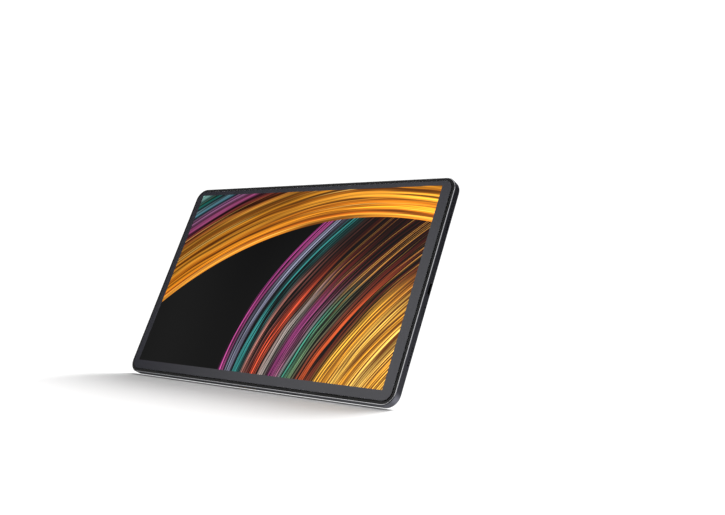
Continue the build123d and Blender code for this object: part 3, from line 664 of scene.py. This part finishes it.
dome_radius, dome_edge, dome_foot = 3.3 * MM, -0.45 * MM, -0.60 * MM
dome_angle = np.linspace(0, np.radians(38), 15)[::-1]
dome_profile = np.stack([dome_radius * np.sin(dome_angle),
                         dome_radius * (np.cos(dome_angle) - np.cos(dome_angle[0])) + dome_edge], axis=1)
dome_profile[-1, 0] = 0.02 * MM
dome = turned_piece("camera_front_lens", ring_place, backward,
                    np.append(dome_profile[0, 0], dome_profile[:, 0]),
                    np.append(dome_foot, dome_profile[:, 1]), steps=64)
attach(dome, "tablet")
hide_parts("lens_element")
coated = Finish("coated_lens", cloud=500.0)
lx, _, lz = coated.position(ring_place)
lens_radius = coated.math("SQRT", coated.math(
    "ADD", coated.math("MULTIPLY", lx, lx), coated.math("MULTIPLY", lz, lz)))
coating = coated.ramp(lens_radius, 0.6 * MM, 2.0 * MM)
coated.colour(coated.mix(coating, (0.004, 0.004, 0.010), (0.030, 0.018, 0.070)))
coated.roughness(coated.ramp(coated.group.outputs["Cloud"], 0.3, 0.7, 0.03, 0.06))
coated.shader.inputs["Coat Weight"].default_value = 1.0
coated.shader.inputs["Coat Roughness"].default_value = 0.02
dome.data.materials.append(coated.material)
paint(barrel_black, "camera_module", "front_camera")

# Flash: a moulded acrylic lens with ring prisms on its face, over a warm phosphor. It is pressed into
# the antenna cover, flush with the back.
flash_low, flash_high = (Vector(corner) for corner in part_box("flash_lens"))
flash_place = ((flash_low.x + flash_high.x) / 2, back_y, (flash_low.z + flash_high.z) / 2)
prism_edge, prism_width, prism_depth = 1.30, 0.1, 0.05
prism_radii = np.linspace(prism_edge, 0.06, 26)
prism_heights = 0.005 - prism_depth * np.abs(((prism_edge - prism_radii) / prism_width) % 1.0)
flash_outline = np.vstack([
    [(1.45, -1.0), (1.49, -0.9), (1.49, -0.04)],
    round_over((1.49, -0.04), (1.40, 0.04), 5),
    [(1.32, 0.04)],
    np.stack([prism_radii, prism_heights], axis=1),
]) * MM
flash = turned_piece("flash_prism_lens", flash_place, backward,
                     flash_outline[:, 0], flash_outline[:, 1], steps=64)
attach(flash, "tablet")
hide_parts("flash_lens")
phosphor = Finish("flash_phosphor", grain=3000.0, cloud=900.0)
phosphor.skin((0.78, 0.58, 0.26), (0.86, 0.72, 0.46), 0.18, 0.1, 0.1)
phosphor.shader.inputs["Subsurface Weight"].default_value = 0.15
phosphor.shader.inputs["Subsurface Radius"].default_value = (0.0006, 0.0005, 0.0003)
flash.data.materials.append(phosphor.material)

# Front camera and light sensor: two dark dots in the bezel print, drawn as shallow domes with the
# coated finish of the camera's front lens.
dot_half_angle = np.radians(60)
dot_crown = 0.03 * MM
dot_angle = np.linspace(0, dot_half_angle, 11)[::-1]
for name, dot_r in (("front_camera", 0.7 * MM), ("light_sensor", 0.4 * MM)):
    dot_low, dot_high = (Vector(corner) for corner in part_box(name))
    dot_place = ((dot_low.x + dot_high.x) / 2, print_y, (dot_low.z + dot_high.z) / 2)
    dot = turned_piece(
        f"{name}_window", dot_place, (0, -1, 0),
        np.maximum(dot_r * np.sin(dot_angle) / np.sin(dot_half_angle), 0.01 * MM),
        dot_crown * (np.cos(dot_angle) - 0.5) / 0.5, steps=40)
    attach(dot, "tablet")
    dot.data.materials.append(coated.material)

# Docking contacts: four turned brass pads, plated with gold, each with a shallow ring round its face.
# They are moulded into the black carrier in the standing edge.
carrier_low, carrier_high = (Vector(corner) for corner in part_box("pogo_contacts"))
contact_z = carrier_low.z
contact_y = (carrier_low.y + carrier_high.y) / 2
contact_pitch = 4.6 * MM
contact_outline = np.array([
    (0.78, -1.2), (0.79, -0.06), (0.74, 0.0), (0.62, 0.0), (0.58, -0.04), (0.50, -0.04), (0.46, 0.0),
    (0.30, 0.0), (0.01, 0.0),
]) * MM
gold = Finish("gold_plate", metallic=1.0, grain=2500.0, cloud=900.0)
gold.skin((0.72, 0.46, 0.15), (0.82, 0.56, 0.22), 0.18, 0.14, 0.08)
for number in range(4):
    place = ((number - 1.5) * contact_pitch, contact_y, contact_z)
    pad = turned_piece(f"dock_contact_{number + 1}", place, (0, 0, -1),
                       contact_outline[:, 0], contact_outline[:, 1], steps=48)
    pad.data.materials.append(gold.material)
    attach(pad, "tablet")
    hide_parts("pogo_contacts")

# Charging port: twelve gold-plated fingers on each face of the tongue, stamped from copper strip and
# moulded in, so that only their crowns stand proud.
tongue_low, tongue_high = (Vector(corner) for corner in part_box("usb_tongue"))
tongue_middle = (tongue_low + tongue_high) / 2
finger_pitch, finger_width, finger_length = 0.5 * MM, 0.26 * MM, 3.0 * MM
finger_rise, finger_sink, finger_setback = 0.03 * MM, 0.01 * MM, 0.4 * MM
tongue_half = 0.35 * MM
side_step, end_step = np.meshgrid(np.linspace(-1, 1, 7), np.linspace(-1, 1, 15))
fingers = []
for face in (-1, 1):
    for number in range(12):
        along_x = tongue_high.x - finger_setback - finger_length * (1 - end_step) / 2
        middle_z = tongue_middle.z + (number - 5.5) * finger_pitch
        crown = finger_rise * np.sqrt(1 - side_step ** 4) * np.sqrt(1 - end_step ** 8)
        height = tongue_middle.y + face * (tongue_half - finger_sink + crown)
        grid = np.stack([along_x, height, middle_z + face * side_step * finger_width / 2], axis=-1)
        fingers.append(surface(f"port_finger_{'front' if face < 0 else 'back'}_{number + 1}", grid))
for finger in fingers:
    finger.data.materials.append(gold.material)
    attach(finger, "tablet")

# Speaker meshes: woven steel cloth behind each row of holes, over and under at every crossing, glued
# to the inside of the wall to keep dust out.
mesh_low, mesh_high = (Vector(corner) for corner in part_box("speaker_meshes"))
weave_pitch = 0.24 * MM
weave_height, weave_gap = 0.05 * MM, 0.06 * MM
mesh_half = (0.95 * MM, 7.2 * MM)
woven = Finish("woven_steel", metallic=1.0, grain=3000.0, cloud=500.0)
woven.skin((0.045, 0.045, 0.050), (0.075, 0.075, 0.080), 0.35, 0.15, 0.1)
speaker_rows = (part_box("speaker_left_lower"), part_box("speaker_left_upper"))
for side, wall_x in ((-1, mesh_low.x), (1, mesh_high.x)):
    for level, (low, high) in zip(("lower", "upper"), speaker_rows):
        middle_z = (low[2] + high[2]) / 2
        short_way, long_way = np.meshgrid(np.linspace(-1, 1, 49) * mesh_half[0],
                                          np.linspace(-1, 1, 361) * mesh_half[1])
        wave = np.sin(np.pi * short_way / weave_pitch) * np.sin(np.pi * long_way / weave_pitch)
        grid = np.stack([wall_x - side * (weave_gap - weave_height * wave),
                         (mesh_low.y + mesh_high.y) / 2 + side * short_way, middle_z + long_way], axis=-1)
        cloth = surface(f"speaker_cloth_{'left' if side < 0 else 'right'}_{level}", grid)
        cloth.data.materials.append(woven.material)
        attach(cloth, "tablet")
        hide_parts("speaker_meshes")
